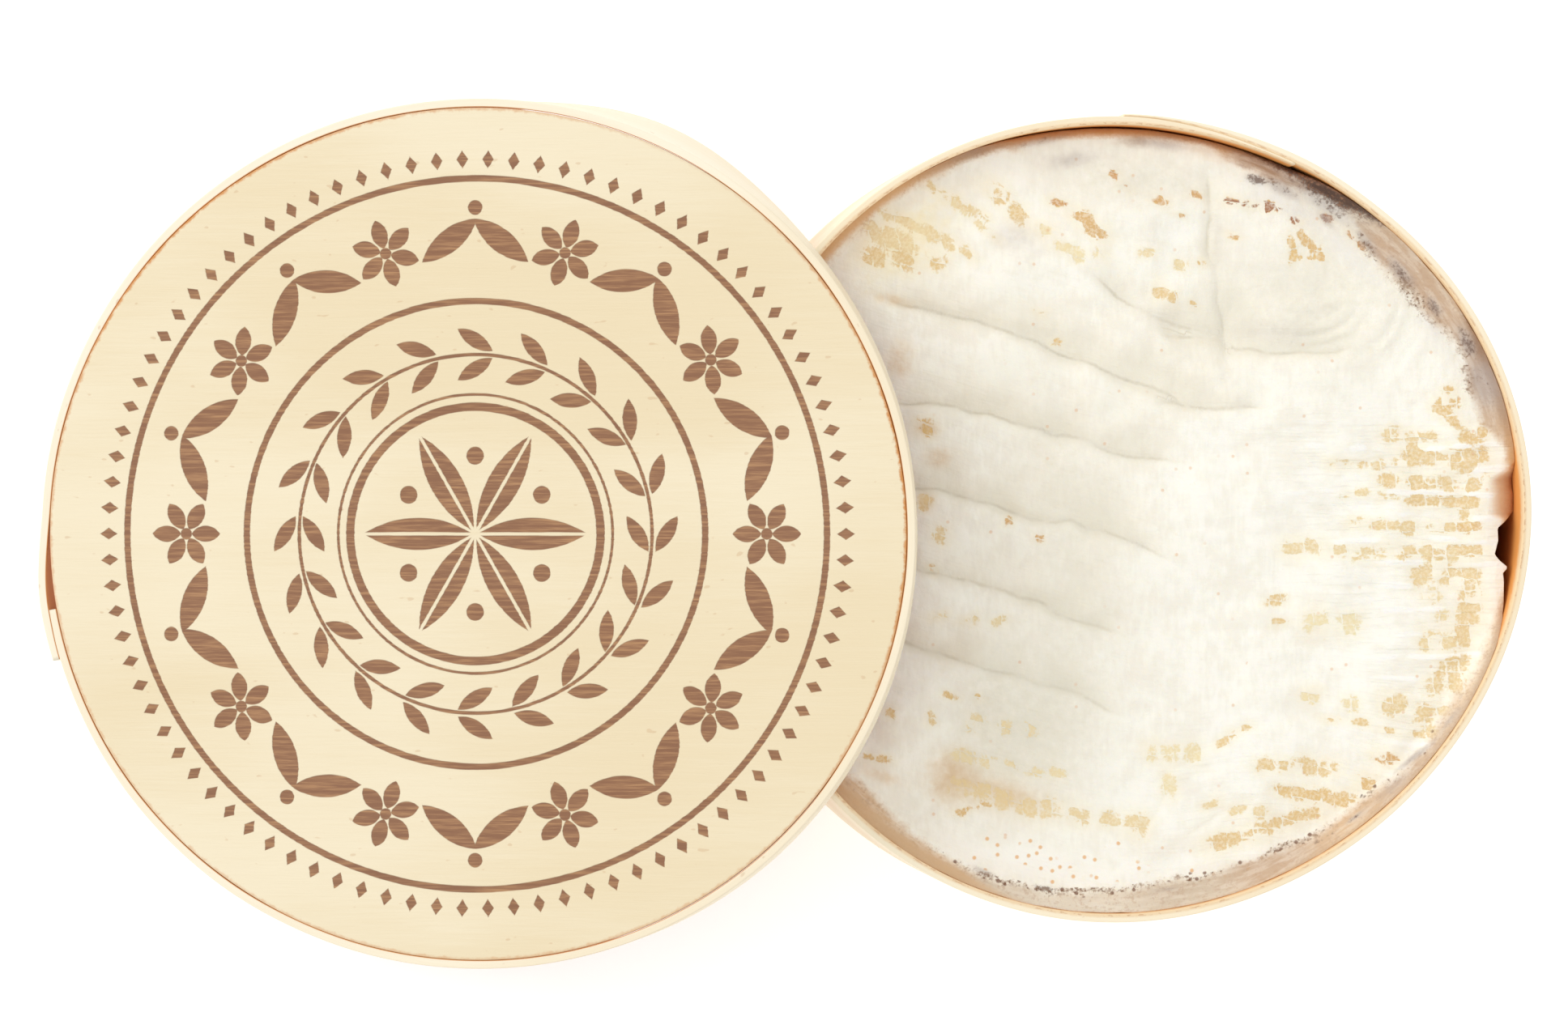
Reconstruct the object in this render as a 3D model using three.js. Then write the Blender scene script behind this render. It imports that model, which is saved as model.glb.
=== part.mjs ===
// A small soft-ripened cheese in its round box of thin wood veneer, with the lid propped on the rim.
// Millimetres, +Z up, +X from the lid towards the box. The origin is under the middle of the whole.

import * as THREE from 'three';
import { mergeVertices } from 'three/addons/utils/BufferGeometryUtils.js';

// Driving dimensions: the veneer that box and lid are bent and cut from
const VENEER = 1.1;
const FIT_GAP = 0.3;
const LAP_GAP = 0.15;
const HOOP_STEPS = 144;

// Driving dimensions: the box
const BOX_RADIUS = 53.6;
const BOX_OVALNESS = 0.5;
const BOX_WAVE = 0.5;
const BOX_HEIGHT = 27;
const BOX_TUCK = 0.7;
const BOX_CENTRE = new THREE.Vector2(43.85, 2.05);
const BOX_LAP = { start: 64, length: 26, rise: 16, thinned: 0.7 };

// Driving dimensions: the lid, and how it leans
const LID_RADIUS = 57.4;
const LID_OVALNESS = 0.6;
const LID_HEIGHT = 12;
const LID_CENTRE = new THREE.Vector2(-38.75, -0.1);
const LID_LAP = { start: 190, length: 6.5, rise: 14, thinned: 0.1 };
const LID_FLARE = { at: 66, spread: 16, out: 1.7 };
const LID_DRAW_IN = { at: 0, spread: 45, out: -1.4 };
const LEAN_SPAN = 100.9;
const TILT = Math.asin((BOX_HEIGHT + FIT_GAP) / LEAN_SPAN);

// Driving dimensions: the cheese
const CHEESE_TOP = 20.6;
const CHEESE_CROWN = 0.5;
const CHEESE_FOOT_ROUND = 3.5;
const CHEESE_EDGE_ROUND = 1.2;
const SHOULDER_ROLL = 0.4;
const CHEESE_STEPS = 112;
const CHEESE_TOP_ROWS = 28;
const TORN_EDGE = { at: -4, spread: 7.5, deep: 2.8 };

const radians = THREE.MathUtils.degToRad;
const veneerColour = 0xf0e2bf;

// How much a bump centred on one bearing counts at another, 1 at the centre and fading over its spread
function nearBearing(degrees, bump) {
  const away = ((degrees - bump.at + 540) % 360) - 180;
  return Math.exp(-((away / bump.spread) ** 2));
}

// Outer radius of the box: nearly round, a little long towards the right, with one slow wave
function boxOuter(degrees) {
  const long = BOX_OVALNESS * Math.cos(radians(2 * degrees + 4));
  const wave = BOX_WAVE * Math.cos(radians(3 * degrees - 33));
  return BOX_RADIUS + long + wave;
}

// Outer radius of the lid: nearly round, a little long in the direction it leans
function lidOuter(degrees) {
  return LID_RADIUS + LID_OVALNESS * Math.cos(radians(2 * degrees));
}

function polar(radius, degrees) {
  return new THREE.Vector2(radius * Math.cos(radians(degrees)), radius * Math.sin(radians(degrees)));
}

// Plan outline of a veneer strip bent into a hoop. It starts at its inner end, runs once round, climbs
// over that end and stops at its outer end. Both ends are thinned towards their tips.
function lappedStrip(outerAt, lap) {
  const sweep = 360 + lap.length;
  const steps = Math.round((HOOP_STEPS * sweep) / 360);
  const thickness = (turned) => {
    const fromTip = Math.min(turned, sweep - turned);
    return VENEER * (1 - lap.thinned * (1 - THREE.MathUtils.smoothstep(fromTip, 0, lap.length)));
  };
  const outer = [];
  const inner = [];
  for (let i = 0; i <= steps; i += 1) {
    const turned = (sweep * i) / steps;
    const degrees = lap.start + turned;
    const over = THREE.MathUtils.smoothstep(turned, 360 - lap.rise, 360);
    const climb = over * (thickness(Math.max(turned - 360, 0)) + LAP_GAP);
    const radius = outerAt(degrees) - VENEER + climb;
    inner.push(polar(radius, degrees));
    outer.push(polar(radius + thickness(turned), degrees));
  }
  return new THREE.Shape([...outer, ...inner.reverse()]);
}

// A hoop is the strip's outline carried up to its height, leaning by shiftAt at its lower edge
function hoop(outerAt, lap, height, shiftAt) {
  const geometry = new THREE.ExtrudeGeometry(lappedStrip(outerAt, lap), {
    depth: height,
    bevelEnabled: false,
  });
  const points = geometry.attributes.position;
  for (let i = 0; i < points.count; i += 1) {
    const x = points.getX(i);
    const y = points.getY(i);
    const degrees = THREE.MathUtils.radToDeg(Math.atan2(y, x));
    const radius = Math.hypot(x, y);
    const shifted = radius + shiftAt(degrees) * (1 - points.getZ(i) / height);
    points.setXY(i, (x * shifted) / radius, (y * shifted) / radius);
  }
  return geometry;
}

// A flat veneer disc that sits inside a hoop
function disc(outerAt, shift) {
  const rim = [];
  for (let i = 0; i < HOOP_STEPS; i += 1) {
    const degrees = (360 * i) / HOOP_STEPS;
    rim.push(polar(outerAt(degrees) - VENEER - FIT_GAP + shift, degrees));
  }
  return new THREE.ExtrudeGeometry(new THREE.Shape(rim), { depth: VENEER, bevelEnabled: false });
}

// Relief of the rind, in millimetres from the middle of the cheese. A long crease is a groove along a
// line from one point to another, bowed in its middle, and fades at both ends.
const creases = [
  { from: [-30, 28.5], to: [7.5, 15], bow: 0.8, deep: 0.9, wide: 1.3 },
  { from: [-30, 15.5], to: [6.5, 7], bow: 0.6, deep: 0.7, wide: 1.3 },
  { from: [-36, 5.5], to: [6, -5.8], bow: 1.2, deep: 0.9, wide: 1.3 },
  { from: [-37, -5], to: [0, -15.8], bow: 1.4, deep: 0.8, wide: 1.3 },
  { from: [-34, -15.6], to: [-1, -25.8], bow: 0.7, deep: 0.7, wide: 1.3 },
  { from: [12.2, 44], to: [15.4, 21.5], bow: -0.4, deep: 0.8, wide: 1.5 },
  { from: [6, 23.6], to: [31, 22.4], bow: -0.5, deep: 0.8, wide: 1.4 },
  { from: [5.5, 15], to: [19, 14], bow: 0.3, deep: 0.5, wide: 1.4 },
];

function creaseDepth(x, y, crease) {
  const [x0, y0] = crease.from;
  const [x1, y1] = crease.to;
  const length = Math.hypot(x1 - x0, y1 - y0);
  const along = ((x - x0) * (x1 - x0) + (y - y0) * (y1 - y0)) / length ** 2;
  const aside = ((y - y0) * (x1 - x0) - (x - x0) * (y1 - y0)) / length;
  const bowed = aside - crease.bow * 4 * along * (1 - along);
  const begins = THREE.MathUtils.smoothstep(along, -0.1, 0.15);
  const ends = 1 - THREE.MathUtils.smoothstep(along, 0.8, 1.1);
  return crease.deep * begins * ends * Math.exp(-((bowed / crease.wide) ** 2));
}

function rindRelief(x, y) {
  const swell = 0.3 * Math.sin(0.11 * x + 0.6) * Math.cos(0.13 * y - 0.4);
  const grooves = creases.reduce((sum, crease) => sum + creaseDepth(x, y, crease), 0);
  return swell - grooves;
}

// The shoulder, where the top rolls down to the side, is broad at the upper right and narrow elsewhere
function shoulderWidth(degrees) {
  const upperRight = 3.4 * nearBearing(degrees, { at: 45, spread: 32 });
  const bottom = 1.4 * nearBearing(degrees, { at: -85, spread: 35 });
  return 2 + upperRight + bottom;
}

// Outer radius of the cheese: a thin gap inside the hoop, and a torn hollow on the right
function cheeseOuter(degrees) {
  const gap = 0.5 + 0.35 * nearBearing(degrees, { at: 118, spread: 12 });
  const torn = TORN_EDGE.deep * nearBearing(degrees, TORN_EDGE);
  return boxOuter(degrees) - VENEER - BOX_TUCK - gap - torn;
}

function cheese() {
  const quarter = Math.PI / 2;
  const profile = [0, 15, 30, 43].map((r) => new THREE.Vector2(r, 0));
  const outer = BOX_RADIUS;
  for (let i = 0; i <= 4; i += 1) {
    const a = (quarter * i) / 4;
    const r = outer - CHEESE_FOOT_ROUND * (1 - Math.sin(a));
    profile.push(new THREE.Vector2(r, CHEESE_FOOT_ROUND * (1 - Math.cos(a))));
  }
  profile.push(new THREE.Vector2(outer, (CHEESE_FOOT_ROUND + CHEESE_TOP - CHEESE_EDGE_ROUND) / 2));
  for (let i = 0; i <= 4; i += 1) {
    const a = (quarter * i) / 4;
    const r = outer - CHEESE_EDGE_ROUND * (1 - Math.cos(a));
    profile.push(new THREE.Vector2(r, CHEESE_TOP - CHEESE_EDGE_ROUND * (1 - Math.sin(a))));
  }
  for (let i = 1; i <= CHEESE_TOP_ROWS; i += 1) {
    const inwards = (i / CHEESE_TOP_ROWS) ** 1.25;
    profile.push(new THREE.Vector2((outer - CHEESE_EDGE_ROUND) * (1 - inwards), CHEESE_TOP));
  }
  const geometry = new THREE.LatheGeometry(profile, CHEESE_STEPS).rotateX(quarter);

  // The turned blank takes the oval outline, then its top takes the crown, the shoulder and the relief
  const points = geometry.attributes.position;
  for (let i = 0; i < points.count; i += 1) {
    const blankX = points.getX(i);
    const blankY = points.getY(i);
    const z = points.getZ(i);
    const degrees = THREE.MathUtils.radToDeg(Math.atan2(blankY, blankX));
    const scale = cheeseOuter(degrees) / outer;
    const x = blankX * scale;
    const y = blankY * scale;
    const fromEdge = cheeseOuter(degrees) - Math.hypot(x, y);
    const rolled = 1 - THREE.MathUtils.smoothstep(fromEdge, 0, shoulderWidth(degrees));
    const crown = CHEESE_CROWN * (1 - (Math.hypot(x, y) / outer) ** 2);
    const inside = THREE.MathUtils.smoothstep(fromEdge, 1, 6);
    const lift = crown - SHOULDER_ROLL * rolled + rindRelief(x, y) * inside;
    const share = THREE.MathUtils.smoothstep(z, CHEESE_TOP * 0.4, CHEESE_TOP);
    points.setXYZ(i, x, y, z + lift * share);
  }
  return geometry;
}

// Merging by place closes the seams that the geometry classes leave for their normals
function closed(geometry) {
  geometry.deleteAttribute('uv');
  geometry.deleteAttribute('normal');
  const merged = mergeVertices(geometry, 1e-5);
  merged.computeVertexNormals();
  return merged;
}

function named(name, geometry, colour, roughness) {
  const material = new THREE.MeshStandardMaterial({ color: colour, roughness, metalness: 0 });
  const mesh = new THREE.Mesh(closed(geometry), material);
  mesh.name = name;
  return mesh;
}

// The box: a lapped hoop round a base disc, with the cheese inside
const box = new THREE.Group();
box.position.set(BOX_CENTRE.x, BOX_CENTRE.y, 0);

const boxHoop = named('box_hoop', hoop(boxOuter, BOX_LAP, BOX_HEIGHT, () => -BOX_TUCK), veneerColour, 0.7);
const boxBase = named('box_base', disc(boxOuter, -BOX_TUCK), veneerColour, 0.75);
const wholeCheese = named('cheese', cheese(), 0xf1ece0, 0.85);
wholeCheese.position.z = VENEER + FIT_GAP;
box.add(boxHoop, boxBase, wholeCheese);

// The lid: a lapped hoop round a disc that is flush with its top edge. Its left edge stands on the
// table, and its lower edge lies on the rim of the box at two places.
const lid = new THREE.Group();

function lidLean(degrees) {
  const flare = LID_FLARE.out * nearBearing(degrees, LID_FLARE);
  const drawnIn = LID_DRAW_IN.out * nearBearing(degrees, LID_DRAW_IN);
  return flare + drawnIn;
}
const lidHoop = named('lid_hoop', hoop(lidOuter, LID_LAP, LID_HEIGHT, lidLean), veneerColour, 0.7);
const lidDisc = named('lid_disc', disc(lidOuter, 0), veneerColour, 0.7);
lidDisc.position.z = LID_HEIGHT - VENEER;
lid.add(lidHoop, lidDisc);

lidHoop.geometry.computeBoundingBox();
const lowEdge = lidHoop.geometry.boundingBox.min.x;
lid.rotation.y = -TILT;
lid.position.set(LID_CENTRE.x, LID_CENTRE.y, -lowEdge * Math.sin(TILT));

const softRipenedCheese = new THREE.Group();
softRipenedCheese.add(box, lid);

export default softRipenedCheese;
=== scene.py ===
import bpy
import numpy as np
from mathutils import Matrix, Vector


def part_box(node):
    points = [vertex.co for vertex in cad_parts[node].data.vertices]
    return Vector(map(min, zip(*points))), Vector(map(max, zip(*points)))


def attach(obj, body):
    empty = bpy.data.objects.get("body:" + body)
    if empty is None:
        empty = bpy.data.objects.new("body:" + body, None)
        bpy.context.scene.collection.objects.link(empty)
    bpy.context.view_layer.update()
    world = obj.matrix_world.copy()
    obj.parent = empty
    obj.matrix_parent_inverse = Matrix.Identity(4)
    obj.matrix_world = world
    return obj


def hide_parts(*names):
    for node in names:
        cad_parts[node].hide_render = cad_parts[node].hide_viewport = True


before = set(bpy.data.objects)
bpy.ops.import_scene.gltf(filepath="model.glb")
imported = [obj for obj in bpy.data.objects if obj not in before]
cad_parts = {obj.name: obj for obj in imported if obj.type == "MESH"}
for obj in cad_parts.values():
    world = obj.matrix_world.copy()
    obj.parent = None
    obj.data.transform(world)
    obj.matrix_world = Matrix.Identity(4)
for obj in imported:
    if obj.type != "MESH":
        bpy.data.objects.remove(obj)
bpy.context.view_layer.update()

# The box's wall is one strip of thin wood veneer, bent round and lapped over its own end at the back.
# Its foot tucks in a little, its cut edges are worn, and its inner face is brown: partly soaked by the
# cheese, partly painted shade of the deep wall.
# All shapes are worked out in millimetres, as the CAD is, and made metres when the mesh is made.
MM = 0.001
VENEER = 1.1
LAP_GAP = 0.03
EDGE_WEAR = 0.14
STRIP_STEPS = 720
BOX_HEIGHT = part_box("box_hoop")[1].z / MM
BOX_CENTRE = np.array([43.85, 2.05, 0.0])
BOX_RADIUS = 53.6
BOX_OVALNESS = 0.5
BOX_WAVE = 0.5
BOX_TUCK = 0.7
BOX_LAP = {"start": 64, "length": 26, "rise": 16, "thinned": 0.7}


def ease(value, low, high):
    """0 below low, 1 above high, and between them three times the square less twice the cube."""
    share = np.clip((value - low) / (high - low), 0, 1)
    return share * share * (3 - 2 * share)


def near_bearing(degrees, at, spread):
    """1 at one bearing, falling with the square of the angle away from it, as a bell does."""
    away = (degrees - at + 540) % 360 - 180
    return np.exp(-((away / spread) ** 2))


def lumps(x, y, size, seed):
    """Smooth random height from -1 to 1: random numbers on a square lattice, eased between its knots."""
    table = np.random.default_rng(seed).uniform(-1, 1, (53, 59))
    column = x / size + 400
    row = y / size + 400
    left = np.floor(column).astype(int)
    low = np.floor(row).astype(int)
    across = ease(column - left, 0, 1)
    up = ease(row - low, 0, 1)

    def knot(i, j):
        return table[(low + j) % 53, (left + i) % 59]

    lower = knot(0, 0) * (1 - across) + knot(1, 0) * across
    upper = knot(0, 1) * (1 - across) + knot(1, 1) * across
    return lower * (1 - up) + upper * up


def polar_points(radius, degrees, up):
    """Points at a distance from the middle, a bearing and a height."""
    angle = np.radians(degrees)
    return np.stack(np.broadcast_arrays(radius * np.cos(angle), radius * np.sin(angle), up), axis=-1)


def box_outer(degrees):
    """Outer radius of the box: its mean radius, an oval wave twice round and a slow wave three times."""
    oval = BOX_OVALNESS * np.cos(np.radians(2 * degrees + 4))
    return BOX_RADIUS + oval + BOX_WAVE * np.cos(np.radians(3 * degrees - 33))


def lean_left(up, height):
    """How much of a hoop's lean is left at a height: all of it at the foot, none in its top veneer."""
    return np.clip(1 - up / (height - VENEER), 0, 1)


def strip_section(height):
    """The strip's cut as a closed loop: up the inner face, over the top, down the outer face and back.
    A point is a share of the thickness, an extra distance outwards and a height, with worn corners."""
    quarter = np.linspace(0, np.pi / 2, 4)
    rising = EDGE_WEAR * np.sin(quarter)
    running = EDGE_WEAR * np.cos(quarter)
    face = EDGE_WEAR + (height - 2 * EDGE_WEAR) * np.array([0.02, 0.2, 0.4, 0.6, 0.8, 0.98])
    edge = np.array([0.1, 0.35, 0.65, 0.9])
    inset = EDGE_WEAR * (1 - 2 * edge)
    corner = np.ones(4)
    share = [0 * face, 0 * corner, edge, corner, 1 + 0 * face, corner, edge[::-1], 0 * corner]
    extra = [0 * face, EDGE_WEAR - running, inset, rising - EDGE_WEAR]
    extra += [0 * face, running - EDGE_WEAR, inset[::-1], EDGE_WEAR - rising]
    up = [face, height - EDGE_WEAR + rising, height + 0 * edge, height - EDGE_WEAR + running]
    up += [face[::-1], EDGE_WEAR - rising, 0 * edge, EDGE_WEAR - running]
    return np.concatenate(share), np.concatenate(extra), np.concatenate(up)


def bent_strip(outer_at, lap, height, lean_at):
    """A hoop of veneer, rows along the strip and columns round its cut. The radius of a point is the
    inner radius, plus the climb over the strip's own inner end, plus its share of the thickness, plus
    the lean, which fades from foot to top. Returns the points and the same points unrolled flat."""
    sweep = 360 + lap["length"]
    turned = np.linspace(0, sweep, STRIP_STEPS)[:, None]
    bearing = lap["start"] + turned
    share, extra, up = strip_section(height)

    def thickness(at):
        from_tip = np.minimum(at, sweep - at)
        return VENEER * (1 - lap["thinned"] * (1 - ease(from_tip, 0, lap["length"])))

    over = ease(turned, 360 - lap["rise"], 360)
    climb = over * (thickness(np.maximum(turned - 360, 0)) + LAP_GAP)
    along = np.radians(turned) * outer_at(bearing)
    worn = 0.12 * ease(up, height - 1.5, height) * (1 + lumps(along, 0 * up, 7, 1)) / 2
    ripple = 0.04 * lumps(along, up, 11, 2) - 0.01
    inner = outer_at(bearing) - VENEER + climb + lean_at(bearing) * lean_left(up, height)
    radius = inner + share * thickness(turned) + extra + ripple
    unrolled = np.stack(np.broadcast_arrays(along, share * VENEER + extra, up), axis=-1)
    return polar_points(radius, bearing, up - worn), unrolled


def ring_quads(index):
    """Quads between neighbouring rows of points, each row closed to a ring."""
    beside = np.roll(index, -1, axis=1)
    return np.stack([index[:-1], beside[:-1], beside[1:], index[1:]], axis=-1).reshape(-1, 4).tolist()


def strip_faces(rows, columns):
    """Quads between the rows of a strip, and a flat face on both ends."""
    index = np.arange(rows * columns).reshape(rows, columns)
    return ring_quads(index) + [index[0, ::-1].tolist(), index[-1].tolist()]


def solid(name, points, faces, **attributes):
    """A smooth mesh from points in millimetres, with a number or a vector at each point by name."""
    mesh = bpy.data.meshes.new(name)
    mesh.from_pydata((points.reshape(-1, 3) * MM).tolist(), [], faces)
    for title, values in attributes.items():
        flat = np.ascontiguousarray(values, dtype=np.float32).ravel()
        kind, key = ("FLOAT", "value") if flat.size == len(mesh.vertices) else ("FLOAT_VECTOR", "vector")
        mesh.attributes.new(title, kind, "POINT").data.foreach_set(key, flat)
    mesh.shade_smooth()
    piece = bpy.data.objects.new(name, mesh)
    bpy.context.scene.collection.objects.link(piece)
    return piece


class Shade:
    """A shader socket. Arithmetic on it adds Math nodes, and node() adds any other kind of node."""

    def __init__(self, socket):
        self.socket = socket

    def node(self, kind, settings, inputs, output=0):
        """Adds a node beside this socket: its settings first, then each socket's value or link."""
        tree = self.socket.id_data
        made = tree.nodes.new(kind)
        for name, value in settings.items():
            setattr(made, name, value)
        for name, value in inputs.items():
            if isinstance(value, Shade):
                tree.links.new(value.socket, made.inputs[name])
            else:
                made.inputs[name].default_value = value
        return Shade(made.outputs[output])

    def math(self, operation, *others):
        return self.node("ShaderNodeMath", {"operation": operation}, dict(enumerate((self, *others))))

    def __add__(self, other):
        return self.math("ADD", other)

    def __sub__(self, other):
        return self.math("SUBTRACT", other)

    def __rsub__(self, other):
        return self.math("MULTIPLY_ADD", -1, other)

    def __mul__(self, other):
        return self.math("MULTIPLY", other)

    def __truediv__(self, other):
        return self.math("DIVIDE", other)

    def __pow__(self, other):
        return self.math("POWER", other)

    def __abs__(self):
        return self.math("ABSOLUTE")

    __radd__ = __add__
    __rmul__ = __mul__

    def ease(self, low, high):
        """0 at low and 1 at high, with a soft start and end. Low may be the larger one."""
        limits = {"Value": self, "From Min": low, "From Max": high}
        return self.node("ShaderNodeMapRange", {"interpolation_type": "SMOOTHSTEP"}, limits)

    def mix(self, first, second):
        """The first colour where this value is 0, the second where it is 1."""
        return self.node("ShaderNodeMix", {"data_type": "RGBA"}, {0: self, 6: first, 7: second}, 2)

    def kept(self, name, output=2):
        """What the piece keeps at its points by name: a number, or with output 1 a vector, 0 a colour."""
        return self.node("ShaderNodeAttribute", {"attribute_name": name}, {}, output)

    def vector(self, operation, other):
        """Arithmetic on this vector, part by part."""
        return self.node("ShaderNodeVectorMath", {"operation": operation}, {0: self, 1: other})

    def scaled(self, x, y, z):
        """This vector with its three parts multiplied."""
        return self.vector("MULTIPLY", (x, y, z))

    def part(self, axis):
        """One part of this vector: 0, 1 or 2."""
        return self.node("ShaderNodeSeparateXYZ", {}, {0: self}, axis)

    def noise(self, size, detail=2.0, roughness=0.5):
        """Cloudy noise from 0 to 1 at this place, its lumps as large as size."""
        inputs = {"Vector": self, "Scale": 1 / size, "Detail": detail, "Roughness": roughness}
        return self.node("ShaderNodeTexNoise", {}, inputs)

    def into(self, shader, name):
        self.socket.id_data.links.new(self.socket, shader.inputs[name])


def colour(red, green, blue):
    """A shader colour from the three numbers from 0 to 255 that a screen would show."""
    screen = np.array([red, green, blue]) / 255
    light = np.where(screen <= 0.04045, screen / 12.92, ((screen + 0.055) / 1.055) ** 2.4)
    return (*light.tolist(), 1.0)


def finish(piece, name, roughness):
    """A new material on the piece. Returns its shader and the piece's own coordinates in millimetres."""
    material = bpy.data.materials.new(name)
    material.use_nodes = True
    piece.data.materials.append(material)
    shader = material.node_tree.nodes["Principled BSDF"]
    shader.inputs["Roughness"].default_value = roughness
    place = Shade(material.node_tree.nodes.new("ShaderNodeTexCoord").outputs["Object"])
    return shader, place.scaled(1 / MM, 1 / MM, 1 / MM)


def bare_wood(along_grain, pale, warm):
    """Peeled veneer where the first axis runs with the grain: cloudy bands, streaks and fine fibres.
    Returns its colour and the height of its fibres in millimetres."""
    clouds = along_grain.scaled(0.4, 1, 1).noise(24, 2)
    streaks = along_grain.scaled(0.06, 1, 1).noise(0.9, 4, 0.6)
    fibres = along_grain.scaled(0.05, 1, 1).noise(0.28, 3, 0.65)
    tone = 0.45 * clouds.ease(0.3, 0.7) + 0.25 * streaks + 0.3 * fibres
    flecks = along_grain.scaled(0.5, 1, 1).noise(0.9, 1).ease(0.735, 0.79)
    wood = tone.ease(0.2, 0.8).mix(pale, warm)
    return (flecks * 0.28).mix(wood, colour(190, 142, 92)), 0.03 * fibres + 0.02 * streaks


def relief(shader, height):
    """Bumps from a height in millimetres."""
    height.node("ShaderNodeBump", {}, {"Distance": MM, "Height": height}).into(shader, "Normal")


def veneer_finish(piece, name, pale, warm, soaked_and_shaded, brow, tint):
    """Bare veneer on a hoop. The unrolled strip gives the grain's direction. The inner face is brown
    below its brow, browner further down, partly soaking and partly painted shade. The inner half of the
    top edge is peach, as much as tint."""
    shader, place = finish(piece, name, 0.62)
    strip = place.kept("unrolled", 1)
    wood, fibres = bare_wood(strip, pale, warm)
    outward = strip.part(1)
    ragged = strip.scaled(0.5, 1, 1).noise(0.5, 3, 0.6)
    tinted = (outward + ragged * 0.5).ease(0.85, 0.45) * tint
    speckled = ragged.ease(0.5, 0.62) * tinted * 0.55
    peach = (tinted * 0.7).mix(wood, colour(236, 204, 158))
    rim = speckled.mix(peach, colour(196, 138, 86))
    inner = outward.ease(0.16, 0.04)
    # The inner face: soaked brown and browner further down, partly painted shade of the deep wall
    up = strip.part(2) + 1.6 * (ragged - 0.5)
    lining = up.ease(brow - 0.6, brow - 2.6).mix(colour(242, 214, 172), soaked_and_shaded)
    lining = (up.ease(brow - 4, brow - 9) * 0.3).mix(lining, colour(204, 118, 60))
    inner.mix(rim, lining).into(shader, "Base Color")
    relief(shader, fibres)


rows, unrolled = bent_strip(box_outer, BOX_LAP, BOX_HEIGHT, lambda bearing: -BOX_TUCK)
box_wall = solid("box_wall", rows + BOX_CENTRE, strip_faces(*rows.shape[:2]), unrolled=unrolled)
# The box's veneer is painted paler than the lid's, though it is the same wood: painted light
box_tones = colour(251, 239, 212), colour(245, 227, 194), colour(238, 164, 86)
veneer_finish(box_wall, "bent_veneer_soaked_and_shaded_inside", *box_tones, brow=BOX_HEIGHT, tint=1)
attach(box_wall, "root")
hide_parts("box_hoop")

# The box's base is a disc of the same veneer, cut to drop into the foot of the hoop. The cheese covers
# it, so only its underside can be seen.
DISC_STEPS = 360
BASE_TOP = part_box("box_base")[1].z / MM
BASE_GAP = 0.05


def veneer_disc(rim_at, under, over):
    """A disc as rings from the middle of its underside out round the worn rim to the middle of the top.
    A ring's radius is a share of the rim's radius less its inset."""
    quarter = np.linspace(0, np.pi / 2, 4)
    flat = np.linspace(0.04, 0.99, 24)
    inset = EDGE_WEAR * (1 - np.sin(quarter))
    lift = EDGE_WEAR * (1 - np.cos(quarter))
    share = np.concatenate([flat, np.ones(8), flat[::-1]])[:, None]
    inward = np.concatenate([0 * flat, inset, inset[::-1], 0 * flat])[:, None]
    up = np.concatenate([under + 0 * flat, under + lift, over - lift[::-1], over + 0 * flat])[:, None]
    bearing = np.arange(DISC_STEPS)[None, :] * 360 / DISC_STEPS
    rings = polar_points(share * (rim_at(bearing) - inward), bearing, up)
    return np.concatenate([rings.reshape(-1, 3), [[0, 0, under], [0, 0, over]]])


def disc_faces(count):
    """Quads between the rings, which run from the underside to the top, and a fan round each pole."""
    index = np.arange(count - 2).reshape(-1, DISC_STEPS)
    beside = np.roll(index, -1, axis=1)
    under = np.stack([beside[0], index[0], np.full(DISC_STEPS, count - 2)], axis=-1)
    over = np.stack([index[-1], beside[-1], np.full(DISC_STEPS, count - 1)], axis=-1)
    return ring_quads(index) + under.tolist() + over.tolist()


base_points = veneer_disc(lambda at: box_outer(at) - VENEER - BOX_TUCK - BASE_GAP, 0, BASE_TOP)
box_base = solid("box_floor", base_points + BOX_CENTRE, disc_faces(len(base_points)))
shader, place = finish(box_base, "flat_veneer", 0.65)
base_wood, base_fibres = bare_wood(place, colour(245, 230, 196), colour(231, 207, 160))
base_wood.into(shader, "Base Color")
relief(shader, base_fibres)
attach(box_base, "root")
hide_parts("box_base")

# The cheese fills the box to a few millimetres under its rim. Its white mould rind has soft creases, the
# print of the mat it drained on, bare tan patches, and a stained shoulder with dark mould by the wall.
CHEESE_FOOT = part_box("cheese")[0].z / MM
CHEESE_TOP = 21.9
CHEESE_CROWN = 0.3
FOOT_ROUND = 3.5
WALL_GAP = 0.03
OPEN_GAP = {"from": 62, "to": 108, "wide": 0.15}
TORN_BEARINGS = [-14.5, -12.5, -9.5, -8.2, -7.3, -6.4, -5.6, -3.5, -1.6, 0.8]
TORN_DEPTHS = [0, 0.3, 0.9, 1.25, 0.7, 2.0, 2.7, 2.4, 2.6, 0]
CLIMB_BEARINGS = [-180, -145, -128, -60, -30, -19, -14, 5, 10, 18, 52, 60, 66, 104, 112, 122, 180]
CLIMBS = [0.8, 0.8, 1.8, 2.6, 3.0, 2.8, 0.4, 0, 1.8, 3.0, 3.0, 2.0, 0, 0, 0.7, 1.1, 0.8]
CLIMB_REACH = 3.2
GRID_POINTS = 270
MAT_PITCH = 3.1

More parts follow.
